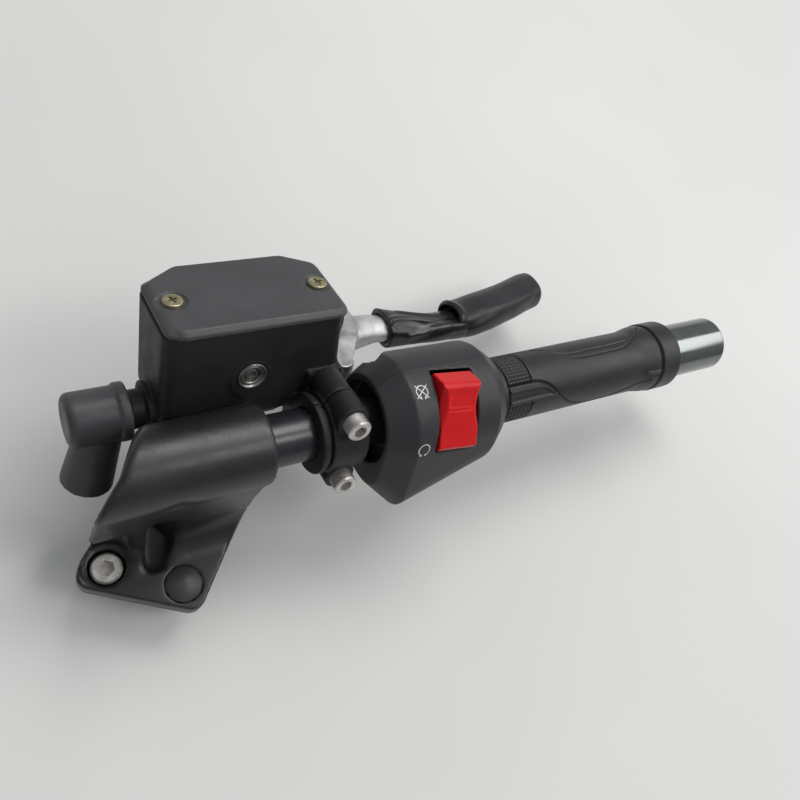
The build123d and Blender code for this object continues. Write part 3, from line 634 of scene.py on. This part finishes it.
grip_strokes = [
    grip_line([(5.8, 50), (18.6, 50), (24.6, 47), (29.1, 40), (33.6, 27), (38.6, 11), (44.6, -6),
               (52.6, -19), (62.6, -26), (73.6, -25), (82.6, -15), (91.6, -4), (99.6, 2)], 0.9, -0.8),
    grip_line([(6.8, 39.5), (21.6, 39.5), (26.6, 37.5), (30.6, 30), (34.1, 19.5)], 1.1, 0.8),
    grip_line([(6.8, 20), (25.6, 20.5), (33.6, 19)], 1.1, 0.8),
    grip_line([(5.8, 12.6), (20.6, 12.6)], 0.6, -0.45),
    grip_line([(31.6, 122), (37.6, 106), (43.6, 90), (49.6, 85), (58.6, 86), (72.6, 86), (87.6, 88)],
              0.8, -0.7),
    grip_line([(49.6, 76), (54.6, 73.5), (66.6, 73.5), (81.6, 74.5), (89.6, 83), (98.1, 100), (102.6, 113)],
              0.8, -0.6),
    grip_line([(97.1, 17), (104.6, 17)], 1.2, 0.7),
    grip_line([(97.1, 9.5), (104.6, 9.5)], 0.7, -0.5),
    grip_line([(band_from, -45), (band_from, 140)], 0.7, -0.9),
    grip_line([(band_to, -45), (band_to, 14)], 0.7, -0.9),
    grip_line([(band_to, 50), (band_to, 140)], 0.7, -0.9),
    grip_line([(band_to, 14), (band_to, 50)], 0.45, -0.2),
]


def end_inset(from_end, radius):
    """How far a rounded end's skin lies inside its full size at a distance from the end."""
    return radius - (radius**2 - (radius - from_end) ** 2) ** 0.5 if from_end < radius else 0.0


def grip_profile(u):
    """Radius of the grip before its pattern."""
    r = grip_r + (flare_r - grip_r) * step_up(u, ring_line - flare_length, ring_line - 1.5)
    r += (collar_r - flare_r) * step_up(u, ring_line - 0.3, ring_line + 0.3)
    from_line = abs(u - ring_line)
    if from_line < ring_half:
        r -= ring_depth * (1 + cos(pi * from_line / ring_half)) / 2
    return r - end_inset(min(u - grip_start, grip_end - u), end_round)


def knurl(u, angle):
    """Depth of the square cells' edges."""
    from_start = u - grip_start
    if not band_from < from_start < band_to or plain_low < angle < plain_high:
        return 0.0
    cell_u = (band_to - band_from) / knurl_rows
    cell_angle = 360 / knurl_turns
    across = (from_start - band_from) / cell_u % 1
    around = angle / cell_angle % 1
    from_edge = min(min(across, 1 - across) * cell_u, min(around, 1 - around) * cell_angle * arc)
    return -knurl_depth * max(0.0, 1 - from_edge / knurl_half)


def even(start, end, step):
    """Evenly spaced values from start up to, not including, end."""
    count = max(1, round((end - start) / step))
    return [start + (end - start) * i / count for i in range(count)]


def grip_stations():
    """Where the grip's rings stand along the bar, close together where its pattern is fine."""
    band_start, band_end = grip_start + band_from, grip_start + band_to
    line_start, line_end = ring_line - 2 * ring_half, ring_line + 2 * ring_half
    stations = even(grip_start, grip_start + end_round, 0.3)
    stations += even(grip_start + end_round, band_start, 0.4)
    stations += even(band_start, band_end, (band_to - band_from) / knurl_rows / 6)
    stations += even(band_end, line_start, 0.45)
    stations += even(line_start, line_end, 0.25)
    stations += even(line_end, grip_end - end_round, 0.7)
    return stations + even(grip_end - end_round, grip_end, 0.3) + [grip_end]


def make_grip():
    turns = [i * 360 / columns for i in range(columns)]
    rings = [[round_bar(grip_start, grip_bore_r, turn) for turn in turns]]
    for u in grip_stations():
        ring = []
        for turn in turns:
            angle = (turn - pattern_low) % pattern_turn + pattern_low
            r = grip_profile(u) + knurl(u, angle) + relief(grip_strokes, u, angle * arc)
            ring.append(round_bar(u, r, turn))
        rings.append(ring)
    rings.append([round_bar(grip_end, grip_bore_r, turn) for turn in turns])
    stand_for(ring_skin("grip_form", rings, looks["grip"], loop=True), "grip")


make_grip()


# Lever sleeve: a creased rubber neck that runs into a wider tube, whose mouth stands open on top

joints = {joint["name"]: joint for joint in frame["record"]["behaviour"]["joints"]}
pivot = in_bar(joints["lever_pivot"]["pos_m"])
sleeve_w = -5.6
# Rows: u from the pivot, v, w, half width, half height, power of the oval
neck_rows = [
    (35.5, 3.0, 0.0, 10.8, 8.3, 2.7),
    (40.0, 2.0, 0.0, 10.2, 8.0, 2.5),
    (46.0, 0.7, 0.0, 9.6, 7.4, 2.3),
    (56.0, -1.3, 0.0, 8.9, 6.8, 2.1),
    (62.5, -2.1, -0.2, 8.6, 6.3, 2.0),
    (69.0, -1.5, -0.8, 8.6, 5.9, 2.0),
    (76.0, -0.3, -1.2, 8.8, 5.7, 2.0),
    (92.0, 1.0, -1.2, 9.0, 5.8, 2.0),
]
tube_rows = [
    (69.0, -1.4, 1.6, 10.6, 8.6, 2.0),
    (81.0, 0.3, 0.0, 11.8, 8.4, 2.2),
    (97.0, 2.8, 0.0, 11.9, 8.9, 2.3),
    (114.5, 7.0, 0.0, 11.3, 8.6, 2.4),
    (133.5, 12.8, 0.0, 11.2, 8.6, 2.4),
    (143.5, 15.1, 0.0, 10.7, 8.3, 2.4),
]
sleeve_wall = 1.7
tip_round = 3.0
# The tube's mouth: where its rim stands, how far the top is cut back, and the lip behind it
rim_u, rim_back, rim_back_angle, rim_back_half = 75.5, 2.0, 80, 30
lip_rise, lip_from_rim, lip_half = 0.8, 2.0, 1.6
# Rings from inside the mouth out to the tube's skin: distance past the rim and inset from the skin
mouth_rings = [(12.0, 3.6), (4.0, 2.1), (0.6, sleeve_wall), (-0.2, 1.3), (-0.5, 0.85), (-0.2, 0.4)]
skin_start = 0.6
# The join on the low side: its middle angle, where it fades round the sleeve, and along it
low_middle, low_fade = -45, (75, 112)
join_swell, join_fade, join_dive = (50, 71), (72, 88), 0.7
ripple_scale, ripple_height = 0.08, 0.22
ring_points = 96
neck_step, tube_steps = 0.8, 91
sleeve_arc = 0.155


def sleeve_line(points, half_width, height):
    """Stroke through places given as millimetres from the pivot and degrees round the sleeve."""
    return stroke([(u, angle * sleeve_arc) for u, angle in points], half_width, height)


neck_strokes = [
    sleeve_line([(35, 62), (38, 76), (43.5, 82), (50, 81), (56.5, 72), (65, 66), (71, 62), (78, 56)],
                2.4, 1.4),
    sleeve_line([(40, 50), (47, 54), (54, 48)], 4.5, -0.7),
    sleeve_line([(46, 10), (54, 24), (62, 38), (72, 46)], 2.6, 0.6),
    sleeve_line([(50, -20), (60, -8), (70, -2)], 3.0, 0.5),
    sleeve_line([(46, 118), (58, 112), (68, 104)], 3.0, 0.5),
]
tube_strokes = [
    sleeve_line([(72, 56), (76, 53), (81, 46), (87, 56), (97, 60), (114, 50), (132, 38)], 4.5, 0.5),
    sleeve_line([(82, 26), (90, 32)], 6.0, -0.5),
]


def sleeve_place(rows, strokes, u, angle, inset=0.0):
    """Place on the sleeve at u from the pivot and an angle round it, 0 facing the rider and 90 up."""
    v, w, half_v, half_w, power = along(rows, u)
    c, s = cos(radians(angle)), sin(radians(angle))
    out = relief(strokes, u, wrap(angle) * sleeve_arc) - inset
    across = (half_v + out) * abs(c) ** (2 / power) * (1 if c > 0 else -1)
    rise = (half_w + out) * abs(s) ** (2 / power) * (1 if s > 0 else -1)
    place = Vector((pivot.x + u, pivot.y + v - across, pivot.z + sleeve_w + w + rise))
    ripple = noise.noise(place * ripple_scale) * ripple_height
    return at(place.x, place.y + ripple, place.z + ripple)


def neck_place(u, angle, inset=0.0):
    return sleeve_place(neck_rows, neck_strokes, u, angle, inset)


def tube_place(u, angle, inset=0.0):
    return sleeve_place(tube_rows, tube_strokes, u, angle, inset)


def low_side(angle):
    """1 on the sleeve's lower rider side, where neck and tube run into each other, and 0 on top."""
    return 1 - step_up(abs(wrap(angle - low_middle)), *low_fade)


def joined_place(u, angle):
    """Place on the neck, whose low side swells until it is the tube's own skin and then dives under it."""
    skin = tube_place(u, angle, join_dive * step_up(u, *join_fade))
    return neck_place(u, angle).lerp(skin, low_side(angle) * step_up(u, *join_swell))


def mouth_u(angle):
    """Where the tube's rim stands at an angle: cut back on top."""
    return rim_u + rim_back * exp(-((wrap(angle - rim_back_angle) / rim_back_half) ** 2))


def tube_inset(u, angle):
    """How far the tube's skin lies inside its rows: more under the neck low down, less at the lip on top."""
    low = low_side(angle)
    from_lip = u - mouth_u(angle) - lip_from_rim
    lip = lip_rise * exp(-((from_lip / lip_half) ** 2)) * (1 - low)
    return join_dive * low * (1 - step_up(u, *join_fade)) - lip


def neck_rings(turns):
    start, end = neck_rows[0][0], neck_rows[-1][0]
    rings = []
    for past_end, inset in ((6.0, sleeve_wall + 0.7), (0.1, sleeve_wall + 0.6), (0.0, 0.5)):
        rings.append([neck_place(start + past_end, a, inset) for a in turns])
    for u in even(start + 0.4, end, neck_step):
        rings.append([joined_place(u, a) for a in turns])
    return rings


def tube_rings(turns):
    end = tube_rows[-1][0]
    rings = []
    for depth, inset in mouth_rings:
        rings.append([tube_place(mouth_u(a) + depth, a, inset + join_dive * low_side(a)) for a in turns])
    for i in range(tube_steps + 1):
        ring = []
        for a in turns:
            start = mouth_u(a) + skin_start
            u = start + (end - start) * i / tube_steps
            ring.append(tube_place(u, a, tube_inset(u, a) + end_inset(end - u, tip_round)))
        rings.append(ring)
    return rings


def make_sleeve():
    turns = [i * 360 / ring_points for i in range(ring_points)]
    neck = ring_skin("sleeve_neck", neck_rings(turns), neck_rubber)
    tube = ring_skin("sleeve_tube", tube_rings(turns), looks["lever_sleeve"], cap=True)
    for piece in (neck, tube):
        stand_for(piece, "lever_sleeve")


make_sleeve()


# Lever: its hidden blade is drawn thinner where the sleeve's tube stands open

blade_squeeze, squeeze_start, squeeze_end = 0.3, (62, 70), (90, 100)


def thin_blade(piece):
    for vertex in piece.data.vertices:
        place = in_bar(vertex.co)
        from_pivot = place.x - pivot.x
        squeeze = step_up(from_pivot, *squeeze_start) * (1 - step_up(from_pivot, *squeeze_end))
        place.z -= (place.z - pivot.z - sleeve_w) * blade_squeeze * squeeze
        vertex.co = at(*place)


thin_blade(soft_copy("brake_lever", 0.0006, 5, 0.6))


# Kill switch: the rocker's face gets its shallow panel and line

housing_start = reach("switch_housing_rear")[0].x
rocker_u = housing_start + 32.1
rocker_tilt, rocker_turn = radians(37.0), radians(-6.0)
face_y = Vector((0, sin(rocker_tilt), cos(rocker_tilt)))
face_out = Vector((0, -cos(rocker_tilt), sin(rocker_tilt)))
face_across = Vector((cos(rocker_turn), 0, 0)) + face_y * sin(rocker_turn)
face_up = face_out.cross(face_across)
# Heights out of the bar's middle and up the face: where the face starts, then its line and panel
face_low = 26.0
line_up, line_half, line_depth = 1.2, 0.5, 0.3
panel_half, panel_low, panel_high, panel_depth = 6.0, 2.4, 9.0, 0.25
panel_blend = 0.3


def within(value, low, high):
    """1 between two values and 0 outside them, with a short fade."""
    rise = step_up(value, low - panel_blend, low + panel_blend)
    return rise * (1 - step_up(value, high - panel_blend, high + panel_blend))


def mark_rocker(piece):
    for vertex in piece.data.vertices:
        away = in_bar(vertex.co) - Vector((rocker_u, 0, 0))
        across, up, out = away.dot(face_across), away.dot(face_up), away.dot(face_out)
        if out < face_low:
            continue
        inside = within(across, -panel_half, panel_half)
        drop = panel_depth * inside * within(up, panel_low, panel_high)
        from_line = abs(up - line_up)
        if from_line < line_half:
            drop += line_depth * inside * (1 + cos(pi * from_line / line_half)) / 2
        vertex.co = at(*(in_bar(vertex.co) - face_out * drop))


mark_rocker(soft_copy("kill_switch", 0.00035, 14, 0.7))


# Signs printed on the housing beside the rocker: stopped by its upper end, running by its lower end

sign_r, sign_width, sign_lift = 2.7, 0.45, 0.06
sign_gap, sign_steps, sign_step = 32, 16, 0.5
tip_length, tip_headings = 1.3, (-2.2, -0.9)
cross_reach = 1.05
housing_skin_r = 26.0
# Name, distance from the housing's start, angle up from the rider's side, crossed out or not
signs = [
    ("sign_stop", 15.9, 62, True),
    ("sign_run", 14.1, 10, False),
]


def sign_spot(middle, x, y):
    """Place just over the housing's skin, x across and y up from a sign's middle."""
    outward = Vector((0, middle.y, middle.z)).normalized()
    rise = outward.cross(face_across).normalized()
    start = middle + face_across * x + rise * y + outward * 10
    direction = at(*(start - outward)) - at(*start)
    place, normal, _, _ = housing_surface.ray_cast(at(*start), direction)
    return place + normal * sign_lift / 1000


def sign_ribbon(middle, points):
    """Quads of a printed line through points on the sign."""
    quads = []
    line = smooth_line(points, sign_step)
    for near, far in zip(line, line[1:]):
        side = Vector((near.y - far.y, far.x - near.x, 0)).normalized() * sign_width / 2
        corners = (near - side, far - side, far + side, near + side)
        quads.append([sign_spot(middle, p.x, p.y) for p in corners])
    return quads


def sign_tip(middle, x, y, heading):
    """Arrow head as one quad, its fourth corner halfway along its back."""
    way = Vector((cos(heading), sin(heading), 0))
    side = Vector((-way.y, way.x, 0))
    base = Vector((x, y, 0))
    corners = (base + way * tip_length, base + side * tip_length / 2, base, base - side * tip_length / 2)
    return [sign_spot(middle, c.x, c.y) for c in corners]


def make_sign(name, from_start, angle, crossed):
    """Open ring with an arrow head at each end, for an engine that runs, or crossed for one stopped."""
    turn = radians(angle)
    middle = Vector((housing_start + from_start, -housing_skin_r * cos(turn), housing_skin_r * sin(turn)))
    first, last = radians(sign_gap - 90), radians(270 - sign_gap)
    turns = [first + (last - first) * i / sign_steps for i in range(sign_steps + 1)]
    quads = sign_ribbon(middle, [(sign_r * cos(t), sign_r * sin(t)) for t in turns])
    for t, heading in zip((first, last), tip_headings):
        quads.append(sign_tip(middle, sign_r * cos(t), sign_r * sin(t), heading))
    if crossed:
        end = sign_r * cross_reach
        quads += sign_ribbon(middle, [(-end, -end), (end, end)])
        quads += sign_ribbon(middle, [(-end, end), (end, -end)])
    mesh = bpy.data.meshes.new(name)
    corners = [place for quad in quads for place in quad]
    mesh.from_pydata(corners, [], [tuple(range(4 * i, 4 * i + 4)) for i in range(len(quads))])
    piece = mesh_piece(name, mesh, sign_white)
    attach(piece, nodes["switch_housing_rear"]["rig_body"])


for sign in signs:
    make_sign(*sign)


# Floor, background and light

floor_z, floor_size = -0.0185, 16
floor_dark, floor_light = (0.68, 0.68, 0.655), (0.74, 0.74, 0.71)
sky_color = (0.94, 0.96, 1.0, 1)
sky_top = Vector((0.30, 0.42, 0.86)).normalized()
sky_dim, sky_bright = 0.22, 0.58
# Area lights: name, place, where it points, width and height in metres, watts
lamps = [
    ("ceiling", (0.24, 0.66, 1.12), (0.05, 0.08, 0.05), (0.8, 0.4), 7.0),
    ("side", (1.30, 0.62, 0.90), (0.15, 0.12, 0.05), (0.9, 0.35), 4.0),
    ("behind", (0.78, -0.02, 1.25), (0.05, 0.03, 0.05), (0.45, 0.3), 3.5),
]


def make_floor():
    """Plain pale floor just under the foot bolts' ends."""
    bpy.ops.mesh.primitive_plane_add(size=floor_size, location=(0, 0, floor_z))
    floor = bpy.context.object
    floor.name = "floor"
    mat, tree, shader = node_tree("floor")
    shader.inputs["Roughness"].default_value = 0.9
    shader.inputs["Specular IOR Level"].default_value = 0.1
    tone = add_mix(tree, add_range(tree, add_noise(tree, 3, 3.0), 0, 1), floor_dark, floor_light)
    link(tree, tone, shader.inputs["Base Color"])
    floor.data.materials.append(mat)


def make_world():
    """Plain sky, bright above and ahead of the bar and dim behind the rider."""
    world = bpy.data.worlds.new("world")
    scene.world = world
    world.use_nodes = True
    tree = world.node_tree
    coords = tree.nodes.new("ShaderNodeTexCoord")
    toward = tree.nodes.new("ShaderNodeVectorMath")
    toward.operation = "DOT_PRODUCT"
    toward.inputs[1].default_value = sky_top
    link(tree, coords.outputs["Generated"], toward.inputs[0])
    sky = tree.nodes["Background"]
    sky.inputs["Color"].default_value = sky_color
    strength = add_range(tree, toward.outputs["Value"], sky_dim, sky_bright, 0.0, 0.95)
    link(tree, strength, sky.inputs["Strength"])


def area_light(name, place, target, size, power):
    data = bpy.data.lights.new(name, "AREA")
    data.shape = "RECTANGLE"
    data.size, data.size_y = size
    data.energy = power
    lamp = bpy.data.objects.new(name, data)
    scene.collection.objects.link(lamp)
    lamp.location = place
    lamp.rotation_euler = (Vector(target) - Vector(place)).to_track_quat("-Z", "Y").to_euler()


make_floor()
make_world()
for lamp in lamps:
    area_light(*lamp)

scene.view_settings.view_transform = "Standard"
